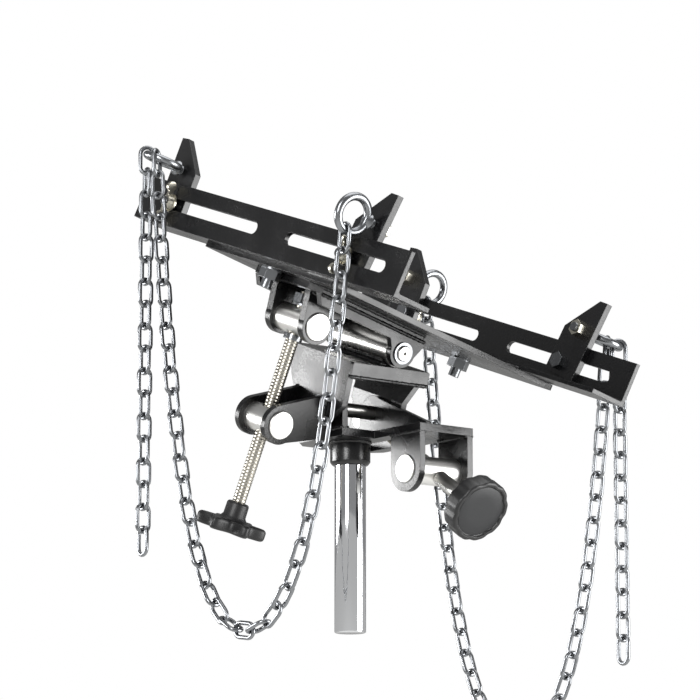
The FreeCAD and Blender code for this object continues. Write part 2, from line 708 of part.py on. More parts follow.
def save_yoke():
    save("mid_yoke", make_mid_yoke(), MID)
    save("mid_front_plate", make_mid_front(), MID)
    save("side_screw_lug", make_side_lug(), MID)
    save("fore_lower_ear_near", make_lower_ear(-LOWER_EAR_IN - EAR_T), MID)
    save("fore_lower_ear_far", make_lower_ear(LOWER_EAR_IN), MID)
    save("fore_pivot_barrel", make_barrel(), MID)


def save_saddle():
    save("upper_yoke", make_upper_yoke(), SADDLE)
    save("pivot_flange_near", make_pivot_flange(-FLANGE_IN - FLANGE_T), SADDLE)
    save("pivot_flange_far", make_pivot_flange(FLANGE_IN), SADDLE)
    save("fore_upper_ear_near", make_upper_ear(-UPPER_EAR_IN - UPPER_EAR_T), SADDLE)
    save("fore_upper_ear_far", make_upper_ear(UPPER_EAR_IN), SADDLE)
    save("fore_pivot_pin", make_fore_pin(), SADDLE)
    save("fore_pin_rings", make_pin_rings(), SADDLE)
    save("saddle_plate", make_saddle_plate(), SADDLE)
    save("plate_bolts", make_plate_bolts(), SADDLE)
    save("plate_nuts", make_plate_nuts(), SADDLE)
    save("front_rail", make_rail(-1), SADDLE)
    save("rear_rail", make_rail(1), SADDLE)


def save_brackets():
    for name in BRACKETS:
        save("finger_" + name, make_finger(name), SADDLE)
        save("clamp_bolt_" + name, make_clamp_bolt(name), SADDLE)
        save("eye_bolt_" + name, make_eye_bolt(name), SADDLE)
        save("nuts_" + name, group([make_wing_nut(name), make_eye_nut(name)]), SADDLE)


def save_screws():
    save("fore_trunnion_upper", make_upper_trunnion(), MID)
    save("fore_trunnion_lower", make_lower_trunnion(), MID)
    save("fore_screw", make_fore_screw(), MID)
    save("fore_screw_nuts", make_screw_nuts(), MID)
    save("star_knob", make_star_knob(), MID)
    save("side_trunnion_base", make_side_trunnion())
    save("side_trunnion_yoke", make_yoke_trunnion())
    save("side_screw", make_side_screw())
    save("side_screw_sleeve", make_side_sleeve())
    save("side_knob", make_side_knob())


def save_chains():
    still = Placement()
    save("chain_loop_front", make_front_loop(), still)
    save("chain_loop_rear", make_rear_loop(), still)
    for rail in ("front", "rear"):
        tail = make_tail(rail)
        save("tail_link_" + rail, tail[0], still)
        save("chain_tail_" + rail, group(tail[1:]), still)


os.makedirs("parts", exist_ok=True)
save_base()
save_yoke()
save_saddle()
save_brackets()
save_screws()
save_chains()
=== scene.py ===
# %% [markdown]
# A tilting saddle head of a transmission jack, dressed over its packed design. Two slotted
# rails on a plate carry four finger brackets and two chains, and the plate leans two ways on
# a chromed ram. The frame gives the bodies, nodes and joints at their real size.
# %% Load the frame
import math
import bpy
import numpy as np
from mathutils import Matrix, Vector


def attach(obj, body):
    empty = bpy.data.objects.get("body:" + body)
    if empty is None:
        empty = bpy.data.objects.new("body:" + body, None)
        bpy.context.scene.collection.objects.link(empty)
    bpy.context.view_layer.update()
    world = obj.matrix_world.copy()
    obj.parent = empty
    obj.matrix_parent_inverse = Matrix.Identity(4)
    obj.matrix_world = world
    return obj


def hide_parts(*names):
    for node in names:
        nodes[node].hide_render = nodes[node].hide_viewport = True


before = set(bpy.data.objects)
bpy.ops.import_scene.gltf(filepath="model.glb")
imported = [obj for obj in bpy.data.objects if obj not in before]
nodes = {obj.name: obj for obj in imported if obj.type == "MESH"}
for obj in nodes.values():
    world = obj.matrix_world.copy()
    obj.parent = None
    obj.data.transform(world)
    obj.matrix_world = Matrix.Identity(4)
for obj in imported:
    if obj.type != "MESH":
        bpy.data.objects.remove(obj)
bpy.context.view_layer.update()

# %% [markdown]
# The head is seen from its front left corner and a little from below. A long lens from far
# away keeps the rails nearly parallel, where a short lens would make them fan out.
# %% Camera
CAMERA_SPOT = (-1.6926, -2.1560, -0.2436)
CAMERA_AZIMUTH = -38.13
CAMERA_ELEVATION = -10.29
CAMERA_LENS = 159.7


def place_camera(spot, azimuth, elevation, lens):
    back = Vector((math.sin(azimuth) * math.cos(elevation),
                   -math.cos(azimuth) * math.cos(elevation), math.sin(elevation)))
    camera = bpy.data.objects.new("camera", bpy.data.cameras.new("camera"))
    camera.location = spot
    camera.rotation_euler = back.to_track_quat("Z", "Y").to_euler()
    camera.data.lens = lens
    camera.data.sensor_width = 36.0
    camera.data.clip_end = 50.0
    bpy.context.scene.collection.objects.link(camera)
    bpy.context.scene.camera = camera


place_camera(CAMERA_SPOT, math.radians(CAMERA_AZIMUTH), math.radians(CAMERA_ELEVATION), CAMERA_LENS)
print("camera placed")

# %% [markdown]
# The design was drawn level, in millimetres, and stored leaning: first about the side pivot,
# then about the fore pivot. Three placements carry level sizes to the stored pose in metres,
# so every piece below is listed as a workshop drawing would list it.
# %% Placements
MM = 0.001
COLLAR_TOP = 170
SIDE_PIVOT = (0, -15, 26)
SIDE_LEAN = 19.6
FORE_PIVOT = (5, 0, 87.2)
FORE_LEAN = 13.4


def turn_about(degrees, axis, spot):
    spot = Vector(spot)
    turn = Matrix.Rotation(math.radians(degrees), 4, axis)
    return Matrix.Translation(spot) @ turn @ Matrix.Translation(-spot)


BASE = Matrix.Scale(MM, 4) @ Matrix.Translation((0, 0, COLLAR_TOP))
YOKE = BASE @ turn_about(SIDE_LEAN, "X", SIDE_PIVOT)
SADDLE = YOKE @ turn_about(FORE_LEAN, "Y", FORE_PIVOT)
print("saddle leans", SIDE_LEAN, "and", FORE_LEAN, "degrees")

# %% [markdown]
# Each adjusting screw runs through the middles of its two trunnions. A start point and a
# direction for each screw are enough to place its thread and its knob.
# %% Screw lines
UPPER_TRUNNION = (-77.1, 0, 77.9)
LOWER_TRUNNION = (-89.5, 0, 6.7)
BASE_TRUNNION = (32, -75.5, -31.5)
YOKE_TRUNNION = (32, 12, 25)
fore_top = turn_about(FORE_LEAN, "Y", FORE_PIVOT) @ Vector(UPPER_TRUNNION)
fore_way = (Vector(LOWER_TRUNNION) - fore_top).normalized()
side_low = Vector(BASE_TRUNNION)
side_way = (Vector(YOKE_TRUNNION) - side_low).normalized()
print("fore screw leans", round(math.degrees(math.acos(-fore_way.z)), 1), "degrees")

# %% [markdown]
# Paint charts give colours as sRGB codes, and the shader wants linear numbers, so one
# function turns one into the other. Another adds a node with its settings and links.
# %% Colour and node helpers
def srgb(code):
    parts = [int(code[i:i + 2], 16) / 255 for i in (1, 3, 5)]
    return tuple(p / 12.92 if p <= 0.04045 else ((p + 0.055) / 1.055) ** 2.4 for p in parts) + (1.0,)


def add_node(tree, kind, settings=None, **values):
    node = tree.nodes.new(kind)
    for key, value in (settings or {}).items():
        setattr(node, key, value)
    for key, value in values.items():
        socket = node.inputs[key.replace("_", " ")]
        if isinstance(value, bpy.types.NodeSocket):
            tree.links.new(value, socket)
        else:
            socket.default_value = value
    return node


print("black is", srgb("#0e0e0f"))

# %% [markdown]
# Every finish here is a hard coat or a bare metal, so one recipe serves them all. Real edges
# are never sharp, and the Bevel node rounds them in the shading without adding faces. A fine
# noise gives the surface its grain as bump, and a broad noise may vary the gloss, as hands
# and oil do.
# %% Material recipe
EDGE_SAMPLES = 4
COAT_IOR = 1.5
GLOSS_PATCHES_PER_M = 28.0


def vary_gloss(tree, shader, place, roughness, vary):
    wide = add_node(tree, "ShaderNodeTexNoise", Vector=place, Scale=GLOSS_PATCHES_PER_M, Detail=4.0)
    spread = add_node(tree, "ShaderNodeMapRange", Value=wide.outputs["Fac"], From_Min=0.35,
                      From_Max=0.65, To_Min=roughness - vary, To_Max=roughness + vary)
    tree.links.new(spread.outputs["Result"], shader.inputs["Roughness"])


def material(name, colour, metallic, roughness, bump_mm=1.0, bump_depth=0.0, edge=0.5, vary=0.0):
    mat = bpy.data.materials.new(name)
    mat.use_nodes = True
    mat.diffuse_color = srgb(colour)
    tree = mat.node_tree
    shader = tree.nodes["Principled BSDF"]
    shader.inputs["Base Color"].default_value = srgb(colour)
    shader.inputs["Metallic"].default_value = metallic
    shader.inputs["Roughness"].default_value = roughness
    shader.inputs["IOR"].default_value = COAT_IOR
    place = add_node(tree, "ShaderNodeTexCoord").outputs["Object"]
    round_edge = add_node(tree, "ShaderNodeBevel", {"samples": EDGE_SAMPLES}, Radius=edge * MM)
    grain = add_node(tree, "ShaderNodeTexNoise", Vector=place, Scale=1 / (bump_mm * MM), Detail=2.0)
    bump = add_node(tree, "ShaderNodeBump", Strength=1.0, Distance=bump_depth * MM,
                    Height=grain.outputs["Fac"], Normal=round_edge.outputs["Normal"])
    tree.links.new(bump.outputs["Normal"], shader.inputs["Normal"])
    if vary:
        vary_gloss(tree, shader, place, roughness, vary)
    return mat


print("material recipe ready")

# %% [markdown]
# The plates and brackets are powder coated in gloss black. It isn't quite black, and its
# soft orange peel breaks up reflections. The rails have the same coat over rough hot-rolled
# angle, so their grain is deeper and they glitter in small specks.
# %% Painted finishes
paint = material("gloss_black_paint", "#0e0e0f", 0.0, 0.26, bump_mm=2.4, bump_depth=0.10,
                 edge=0.8, vary=0.07)
rail_paint = material("rail_black_paint", "#0c0c0d", 0.0, 0.20, bump_mm=1.6, bump_depth=0.30,
                      edge=0.8, vary=0.08)
print("painted finishes:", paint.name, rail_paint.name)

# %% [markdown]
# The ram is hard chromed and ground: a clear mirror. Shafts and the barrel are turned steel
# with a satin skin. The trunnions are brighter, as freshly faced steel is. The screws are
# cold drawn and oiled, so they look warmer and duller.
# %% Bare metals
chrome = material("ram_chrome", "#dcdde0", 1.0, 0.07, bump_mm=30.0, bump_depth=0.01, edge=0.3)
steel = material("turned_steel", "#c4c3c0", 1.0, 0.27, bump_mm=0.9, bump_depth=0.012,
                 edge=0.5, vary=0.05)
faced = material("faced_steel", "#ecebe8", 1.0, 0.34, bump_mm=0.8, bump_depth=0.008, edge=0.7)
screw_steel = material("screw_steel", "#a9a59c", 1.0, 0.33, bump_mm=1.0, bump_depth=0.01,
                       edge=0.2, vary=0.05)
print("bare metals: 4")

# %% [markdown]
# Bright zinc plate covers the chain, the bolts and the rings. Yellow zinc on the bracket
# nuts is a little warmer. Both are thin plate over steel, so both are metals here. The knobs
# are moulded plastic with a matt skin, and the side knob's face disc is flat and smooth.
# %% Plate and plastic
zinc = material("bright_zinc", "#85878a", 1.0, 0.28, bump_mm=1.2, bump_depth=0.02,
                edge=0.4, vary=0.06)
yellow_zinc = material("yellow_zinc", "#c9c5b8", 1.0, 0.28, bump_mm=1.0, bump_depth=0.03,
                       edge=0.4, vary=0.06)
plastic = material("knob_plastic", "#131314", 0.0, 0.42, bump_mm=0.7, bump_depth=0.03, edge=0.6)
disc_grey = material("knob_face_grey", "#191a1c", 0.0, 0.45, bump_mm=0.7, bump_depth=0.01, edge=0.3)
print("materials:", len(bpy.data.materials))

# %% [markdown]
# Each node of the design takes a finish by its name, and what isn't named is painted. The
# longer beginnings come first, so that a lug beside a screw isn't plated like the screw. The
# design's shapes aren't touched.
# %% Dress the nodes
FINISHES = (
    (rail_paint, ("front_rail", "rear_rail")),
    (faced, ("fore_trunnion", "side_trunnion")),
    (steel, ("fore_pivot_barrel", "side_pivot_shaft", "fore_pivot_pin", "side_screw_sleeve")),
    (paint, ("side_screw_lug",)),
    (zinc, ("clamp_bolt", "eye_bolt", "chain", "tail_link", "plate_", "fore_screw", "side_screw",
            "side_pivot_rings", "fore_pin_rings", "collar_screw")),
    (yellow_zinc, ("nuts_",)),
    (plastic, ("star_knob", "side_knob")),
)


def finish_for(name):
    if name == "ram":
        return chrome
    for finish, starts in FINISHES:
        if name.startswith(starts):
            return finish
    return paint


for name, item in nodes.items():
    item.data.materials.clear()
    item.data.materials.append(finish_for(name))
print("dressed", len(nodes), "nodes")

# %% [markdown]
# A shape is a plain list of points and faces, in millimetres and level, until it becomes an
# object. Blender's own primitives and modifiers would also do, but plain lists are short,
# exact and the same on every run. The helper smooths the mesh, marks its sharp edges, and
# says which body it rides on, and it hides the node that it stands for.
# %% Make an object
def make_object(name, shape, mat, place, body=None, replaced=(), sharp=35.0):
    points, faces = shape
    mesh = bpy.data.meshes.new(name)
    mesh.from_pydata([place @ Vector(p) for p in points], [], faces)
    mesh.update()
    mesh.shade_smooth()
    mesh.set_sharp_from_angle(angle=math.radians(sharp))
    mesh.materials.append(mat)
    item = bpy.data.objects.new(name, mesh)
    bpy.context.scene.collection.objects.link(item)
    if body:
        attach(item, body)
    if replaced:
        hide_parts(*replaced)
    return item


def merge(*shapes):
    points = []
    faces = []
    for shape_points, shape_faces in shapes:
        shift = len(points)
        points.extend(shape_points)
        faces.extend([tuple(i + shift for i in face) for face in shape_faces])
    return points, faces


print("object helper ready")

# %% [markdown]
# Most small parts here are turned, moulded or threaded about one line. One function lays
# rings along that line and joins them, and the radius may change with the angle. A turned
# part is then a list of distances and radii, as a lathe would follow.
# %% Rings along a line
THINNEST = 0.01
LATHE_STOCK = 100.0


def axes(way):
    way = Vector(way).normalized()
    side = way.cross(Vector((1, 0, 0)) if abs(way.x) < 0.9 else Vector((0, 1, 0))).normalized()
    return way, side, way.cross(side)


def swept(start, way, levels, radius_at, steps):
    """Rings along way: levels are (distance, inset), radius_at gives the radius at an angle."""
    way, side, up = axes(way)
    start = Vector(start)
    points = []
    for distance, inset in levels:
        for i in range(steps):
            angle = 2 * math.pi * i / steps
            radius = max(radius_at(angle, distance) - inset, THINNEST)
            across = side * (radius * math.cos(angle)) + up * (radius * math.sin(angle))
            points.append(start + way * distance + across)
    faces = []
    for k in range(len(levels) - 1):
        for i in range(steps):
            j = (i + 1) % steps
            faces.append((k * steps + i, k * steps + j, (k + 1) * steps + j, (k + 1) * steps + i))
    last = (len(levels) - 1) * steps
    faces.append(tuple(reversed(range(steps))))
    faces.append(tuple(range(last, last + steps)))
    return points, faces


def turned(start, way, profile, steps=64):
    """A turned shape: profile is a list of (distance, radius)."""
    levels = [(distance, LATHE_STOCK - radius) for distance, radius in profile]
    return swept(start, way, levels, lambda angle, distance: LATHE_STOCK, steps)


print("lathe ready")

# %% [markdown]
# A screw thread is one groove wound round a rod. Here the groove's depth follows a helix
# through a fine sweep, so the thread is real geometry and turns with its screw. It fades out
# at both ends, as a cut thread runs out.
# %% Threads
RINGS_PER_TURN = 8
THREAD_STEPS = 28


def threaded(start, way, length, radius, lead, depth):
    rings = int(length / lead * RINGS_PER_TURN)
    levels = [(length * k / rings, 0.0) for k in range(rings + 1)]

    def radius_at(angle, distance):
        phase = (distance / lead - angle / (2 * math.pi)) % 1.0
        groove = min(1.0, max(0.0, 1.6 - abs(phase - 0.5) * 4.0))
        fade = min(1.0, distance / lead, (length - distance) / lead)
        return radius - depth * groove * max(fade, 0.0)
    return swept(start, way, levels, radius_at, THREAD_STEPS)


print("thread helper ready")

# %% [markdown]
# Eye rings and chain links are both bent wire. This closes a tube of wire along any loop of
# points, each with the direction that points out of the loop, so it makes both.
# %% Bent wire
def wire_loop(path, thin_way, wire, around):
    """path is a closed list of (point, outward way); thin_way is square to the loop."""
    points = []
    faces = []
    count = len(path)
    for i, (spot, out) in enumerate(path):
        for k in range(around):
            turn = 2 * math.pi * k / around
            points.append(spot + out * (wire * math.cos(turn)) + thin_way * (wire * math.sin(turn)))
            a = i * around + k
            b = i * around + (k + 1) % around
            c = ((i + 1) % count) * around + (k + 1) % around
            d = ((i + 1) % count) * around + k
            faces.append((a, b, c, d))
    return points, faces


def eye_ring(centre, way, ring, wire, steps=72, around=24):
    way, side, up = axes(way)
    path = []
    for i in range(steps):
        angle = 2 * math.pi * i / steps
        out = side * math.cos(angle) + up * math.sin(angle)
        path.append((Vector(centre) + out * ring, out))
    return wire_loop(path, way, wire, around)


print("wire helper ready")

# %% [markdown]
# The ram is a ground and chromed rod with a small break on its lower edge. Its upper end
# steps down to a spigot inside the collar, a painted ring with turned edges that the screw
# in its side holds. Both are lathe work, so each is one profile.
# %% Ram and collar
UP = (0, 0, 1)
COLLAR_H = 21
ROUND_STEPS = 96
ram_profile = [(0, 12.6), (0.3, 13.5), (1.2, 14.0), (148.6, 14.0), (149.0, 13.6), (149.2, 10.9),
               (169.5, 10.9)]
collar_profile = [(0, 14.1), (0, 15.2), (0.7, 16.2), (2.9, 17.9), (3.4, 18.0), (19.6, 18.0),
                  (20.6, 17.6), (21.0, 16.8), (21.0, 11.2)]
ram = turned((0, 0, -COLLAR_TOP), UP, ram_profile, ROUND_STEPS)
make_object("ram_tube", ram, chrome, BASE, "base", ("ram",))
collar = turned((0, 0, -COLLAR_H), UP, collar_profile, ROUND_STEPS)
make_object("collar_body", collar, paint, BASE, "base", ("ram_collar",))
print("ram and collar turned")

# %% [markdown]
# The fore screw is one long threaded rod. The side screw is threaded between its trunnions.
# Their leads are those that the joints' couplings stand for. The grooves are drawn shallow,
# because the real ones hardly show.
# %% Screws
FORE_LEAD = 3.0
SIDE_LEAD = 2.0
SCREW_SHARP = 60
fore_start = fore_top - fore_way * 25.5
fore_thread = threaded(fore_start, fore_way, 216.5, 6.0, FORE_LEAD, 0.24)
make_object("fore_thread", fore_thread, screw_steel, YOKE, "fore_screw_set", ("fore_screw",), SCREW_SHARP)
side_start = side_low - side_way * 70
side_thread = threaded(side_start, side_way, 197.0, 5.0, SIDE_LEAD, 0.22)
make_object("side_thread", side_thread, screw_steel, BASE, "side_screw_set", ("side_screw",), SCREW_SHARP)
print("screws threaded")

# %% [markdown]
# The star knob is moulded with six rounded lobes on a stepped hub. A sine wave on the radius
# gives the lobes, and a second one at half the spacing squares them up a little.
# %% Star knob
def rounded(thick, soft):
    """Levels of a disc: its thickness, with both rims rounded by soft."""
    arc = [(soft * (1 - math.cos(t)), soft * (1 - math.sin(t))) for t in np.linspace(0, math.pi / 2, 6)]
    return arc + [(thick - d, i) for d, i in reversed(arc)]


def star_radius(angle, distance):
    return 25.0 + 5.6 * math.cos(6 * angle - 0.9) + 0.7 * math.cos(12 * angle - 1.8)


FORE_SCREW_L = 195
hub_profile = [(0, 6.1), (0, 8.6), (0.8, 9.6), (2, 10.0), (12, 10.2), (15.5, 12.6), (17, 15.5)]
cap_profile = [(0, 13.0), (0.7, 12.6), (0.9, 11.0), (0.5, 9.5)]
star_end = fore_top + fore_way * FORE_SCREW_L
lobes = swept(star_end - fore_way * 11, fore_way, rounded(11, 3.4), star_radius, 144)
hub = turned(star_end - fore_way * 27, fore_way, hub_profile)
cap = turned(star_end - fore_way * 0.6, fore_way, cap_profile)
make_object("star_knob_body", merge(lobes, hub, cap), plastic, YOKE, "fore_screw_set", ("star_knob",))
print("star knob moulded")

# %% [markdown]
# The side knob is a scalloped disc. Its face has a raised rim round a flat grey disc, which
# is a piece of its own, because it has its own finish.
# %% Side knob
def scallop_radius(angle, distance):
    return 28.0 + 0.5 * math.cos(9 * angle) - 0.25 * math.cos(18 * angle)


KNOB_BACK = 62
rim_levels = rounded(17, 2.4)[:-1] + [(17.0, 3.0), (16.8, 3.9), (15.6, 4.5), (15.2, 5.4)]
neck_profile = [(0, 5.2), (0, 10.0), (1.0, 11.0), (8.5, 11.4), (11.2, 15.0)]
face_profile = [(0, 23.0), (0.6, 22.9), (0.8, 22.4), (0.9, 12.0), (1.0, 2.0)]
knob_back = side_low - side_way * KNOB_BACK
disc = swept(knob_back, -side_way, rim_levels, scallop_radius, 180)
neck = turned(knob_back + side_way * 11, -side_way, neck_profile)
make_object("side_knob_body", merge(disc, neck), plastic, BASE, "side_screw_set", ("side_knob",))
face = turned(knob_back - side_way * 14.9, -side_way, face_profile, ROUND_STEPS)
make_object("side_knob_face", face, disc_grey, BASE, "side_screw_set")
print("side knob moulded")

# %% [markdown]
# Each bracket holds an eye bolt: a bright ring on a shouldered, threaded shank through the
# rail. Two rings lie flat and two stand upright, as their nuts were tightened. The three
# shapes are merged into one piece, because a real eye bolt is one forging.
# %% Eye bolts
FRONT_WEB = -147.0
REAR_WEB = 134.0
EYE_Z = 168
EYE_OUT = 18
EYE_RING = 15.2
EYE_WIRE = 3.6
SHANK_L = 22.0
BRACKETS = {"front_left": (-1, 164.0, True), "front_right": (-1, -131.0, False),
            "rear_left": (1, 131.0, False), "rear_right": (1, -124.0, True)}
foot_profile = [(0, 6.4), (0.4, 7.0), (2.2, 6.6), (3.6, 5.0), (5.0, 4.2)]
for corner, (side, y, flat) in BRACKETS.items():
    web = FRONT_WEB if side < 0 else REAR_WEB
    out = (side, 0, 0)
    ring_way = (0, 0, 1) if flat else (0, 1, 0)
    ring = eye_ring((web + side * EYE_OUT, y, EYE_Z), ring_way, EYE_RING, EYE_WIRE)
    foot = turned((web + side * 0.4, y, EYE_Z), out, foot_profile, 48)
    shank = threaded((web - side * SHANK_L, y, EYE_Z), out, SHANK_L, 4.0, 1.25, 0.45)
    make_object("eye_bolt_body_" + corner, merge(ring, foot, shank), zinc, SADDLE,
                "bracket_" + corner, ("eye_bolt_" + corner,), 50)
print("eye bolts:", len(BRACKETS))

# %% [markdown]
# A chain link is round wire bent to a long oval and welded. The oval is two half circles,
# and the wire follows them. This one link is only a pattern for all the others.
# %% Chain link
LINK_WIRE = 1.9
LINK_LONG = 20.5
LINK_WIDE = 8.4
BEND_STEPS = 10
WIRE_STEPS = 14


def link_shape():
    reach = LINK_LONG / 2 - LINK_WIDE / 2
    radius = LINK_WIDE / 2 + LINK_WIRE
    path = []
    for end in (1, -1):
        for t in np.linspace(-math.pi / 2, math.pi / 2, BEND_STEPS):
            spot = Vector((end * (reach + radius * math.cos(t)), end * radius * math.sin(t), 0))
            path.append((spot, Vector((end * math.cos(t), end * math.sin(t), 0))))
    points, faces = wire_loop(path, Vector((0, 0, 1)), LINK_WIRE, WIRE_STEPS)
    return points, [(a, d, c, b) for a, b, c, d in faces]


link = make_object("link_pattern", link_shape(), zinc, Matrix.Scale(MM, 4))
print("link points:", len(link.data.vertices))

# %% [markdown]
# The design holds every link as a solid of its own. Points that share a place or an edge
# belong to one link, so following them sorts a chain into its links.
# %% Sort a chain into links
SAME_PLACE = 6


def loose_parts(mesh):
    spots = np.array([v.co for v in mesh.vertices])
    owner = list(range(len(spots)))

    def root(i):
        while owner[i] != i:
            owner[i] = owner[owner[i]]
            i = owner[i]
        return i
    same = {}
    for i, spot in enumerate(spots):
        key = tuple(np.round(spot, SAME_PLACE))
        owner[root(i)] = root(same.setdefault(key, i))
    for edge in mesh.edges:
        owner[root(edge.vertices[0])] = root(edge.vertices[1])
    groups = {}
    for i in range(len(spots)):
        groups.setdefault(root(i), []).append(i)
    return [spots[g] for g in groups.values()]


print("links in the front loop:", len(loose_parts(nodes["chain_loop_front"].data)))

# %% [markdown]
# A link is longest along one direction, narrower along a second and thinnest along a third.
# The spread of its points gives all three, and these with its middle place a new link.
# %% Find where each link lies
def link_frames(mesh):
    frames = []
    for part in loose_parts(mesh):
        part = np.unique(np.round(part, SAME_PLACE), axis=0)
        middle = part.mean(0)
        axis = np.linalg.eigh(np.cov((part - middle).T))[1]
        turn = Matrix([[axis[r][2], axis[r][1], 0.0] for r in range(3)])
        long_way = turn.col[0].normalized()
        wide_way = turn.col[1].normalized()
        turn.col[2] = long_way.cross(wide_way)
        frames.append((Vector(middle), turn.to_euler()))
    return frames


print("front loop links:", len(link_frames(nodes["chain_loop_front"].data)))

# %% [markdown]
# Links could be copied one by one in the script, but one Geometry Nodes tree sets them all
# and can be reused. It takes the points, the link and the finish by name, turns each copy by
# the point's own attribute, and ends by realizing the copies and setting their material.
# %% Link setter
def name_sockets(group, inputs, output):
    for name, kind in inputs.items():
        group.interface.new_socket(name, in_out="INPUT", socket_type="NodeSocket" + kind)
    group.interface.new_socket(output, in_out="OUTPUT", socket_type="NodeSocketGeometry")


def end_tree(group, geometry, finish, output):
    done = add_node(group, "GeometryNodeSetMaterial", Geometry=geometry, Material=finish)
    end = group.nodes.new("NodeGroupOutput")
    group.links.new(done.outputs["Geometry"], end.inputs[output])


def link_setter():
    group = bpy.data.node_groups.new("set_links", "GeometryNodeTree")
    name_sockets(group, {"Points": "Geometry", "Link": "Object", "Finish": "Material"}, "Links")
    given = group.nodes.new("NodeGroupInput").outputs
    shape = add_node(group, "GeometryNodeObjectInfo", Object=given["Link"]).outputs["Geometry"]
    turn = add_node(group, "GeometryNodeInputNamedAttribute", {"data_type": "FLOAT_VECTOR"}, Name="turn")
    copies = add_node(group, "GeometryNodeInstanceOnPoints", Points=given["Points"], Instance=shape,
                      Rotation=turn.outputs["Attribute"])
    real = add_node(group, "GeometryNodeRealizeInstances", Geometry=copies.outputs["Instances"])
    end_tree(group, real.outputs["Geometry"], given["Finish"], "Links")
    return group


setter = link_setter()
print("node group:", setter.name)

# %% [markdown]
# A tree runs as a modifier. Its inputs are set by each socket's identifier, and the result
# is kept as a plain mesh, because nothing live may be left on a finished piece.
# %% Run a node group
def run_nodes(name, mesh, group, values):
    source = bpy.data.objects.new(name + "_source", mesh)
    bpy.context.scene.collection.objects.link(source)
    modifier = source.modifiers.new("nodes", "NODES")
    modifier.node_group = group
    for socket in group.interface.items_tree:
        if socket.in_out == "INPUT" and socket.name in values:
            modifier[socket.identifier] = values[socket.name]
    bpy.context.view_layer.update()
    ready = source.evaluated_get(bpy.context.evaluated_depsgraph_get())
    result = bpy.data.meshes.new_from_object(ready)
    source.modifiers.clear()
    bpy.data.objects.remove(source)
    item = bpy.data.objects.new(name, result)
    bpy.context.scene.collection.objects.link(item)
    return item


print("node runner ready")

# %% [markdown]
# Two long loops hang between the brackets, and two tails hang free. Each tail's first link
# is a piece of its own, because it turns on the eye ring and the rest turns on it.
# %% Chains
CHAINS = {"chain_loop_front": "loop_front", "chain_loop_rear": "loop_rear",
          "tail_link_front": "tail_link_front_body", "tail_link_rear": "tail_link_rear_body",
          "chain_tail_front": "tail_front", "chain_tail_rear": "tail_rear"}
for name, body in CHAINS.items():
    places = link_frames(nodes[name].data)
    mesh = bpy.data.meshes.new(name + "_points")
    mesh.from_pydata([spot for spot, turn in places], [], [])
    turns = mesh.attributes.new("turn", "FLOAT_VECTOR", "POINT")
    for i, (spot, turn) in enumerate(places):
        turns.data[i].vector = tuple(turn)
    item = run_nodes(name + "_links", mesh, setter, {"Link": link, "Finish": zinc})
    item.data.shade_smooth()
    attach(item, body)
    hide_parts(name)
    print(name, len(places), "links")
bpy.data.objects.remove(link)

# %% [markdown]
# The plates are welded together, and a hand-laid bead is a row of overlapping ripples.
# A plain tube would look like sealant, so the tree below sets a ball at each step along the
# seam and lets its size wander a little, from a fixed seed.
# %% Weld bead setter
RIPPLE_MIN = 0.86
RIPPLE_MAX = 1.14
BALL_DETAIL = 3


def bead_setter():
    group = bpy.data.node_groups.new("set_beads", "GeometryNodeTree")
    name_sockets(group, {"Seam": "Geometry", "Pitch": "Float", "Radius": "Float", "Seed": "Int",
                         "Finish": "Material"}, "Beads")
    given = group.nodes.new("NodeGroupInput").outputs
    curve = add_node(group, "GeometryNodeMeshToCurve", Mesh=given["Seam"]).outputs["Curve"]
    spots = add_node(group, "GeometryNodeResampleCurve", {"mode": "LENGTH"}, Curve=curve,
                     Length=given["Pitch"])
    ball = add_node(group, "GeometryNodeMeshIcoSphere", Radius=given["Radius"], Subdivisions=BALL_DETAIL)
    # The node has sockets of one name for each data type, so the float ones go by number.
    odd = add_node(group, "FunctionNodeRandomValue", {"data_type": "FLOAT"}, Seed=given["Seed"])
    odd.inputs[2].default_value = RIPPLE_MIN
    odd.inputs[3].default_value = RIPPLE_MAX
    copies = add_node(group, "GeometryNodeInstanceOnPoints", Points=spots.outputs["Curve"],
                      Instance=ball.outputs["Mesh"], Scale=odd.outputs[1])
    real = add_node(group, "GeometryNodeRealizeInstances", Geometry=copies.outputs["Instances"])
    smooth = add_node(group, "GeometryNodeSetShadeSmooth", Geometry=real.outputs["Geometry"])
    end_tree(group, smooth.outputs["Geometry"], given["Finish"], "Beads")
    return group


beader = bead_setter()
print("node group:", beader.name)

# %% [markdown]
# The seams run where one plate stands on another: under the trunnion legs, beside the ears,
# round the collar, along the bent yoke and under the saddle. Each is a line in the level
# millimetres of its own body.
# %% Seams
def circle_seam(radius, z, first, last, steps):
    return [(radius * math.cos(a), radius * math.sin(a), z)
            for a in np.radians(np.linspace(first, last, steps))]


BASE_SEAMS = [
    [(2.3, -94, 0), (2.3, -56, 0)], [(61.7, -94, 0), (61.7, -56, 0)],
    [(8.4, -94, -0.4), (8.4, -57, -0.4)], [(55.6, -94, -0.4), (55.6, -57, -0.4)],
    [(11.7, -90, 7.3), (11.7, 2, 7.3)], [(-27, -30, 7.3), (-27, 2, 7.3)],
    [(-33.2, -30, 7.3), (-33.2, 2, 7.3)], circle_seam(17.6, -0.5, 60, 360, 40),
]
YOKE_SEAMS = [
    [(-46.3, -23.4, 16), (-46.3, -23.4, 37)], [(-46.3, 23.4, 0), (-46.3, 23.4, 37)],
    [(-45, -50, 60.4), (39, -50, 60.4)], [(40.2, 8, 68), (40.2, 30, 68)],
    [(-8.2, -38, 77.3), (-8.2, 38, 77.3)], [(18.2, -38, 77.3), (18.2, 38, 77.3)],
    [(-6.3, -38.3, 74), (16.3, -38.3, 74)],
]
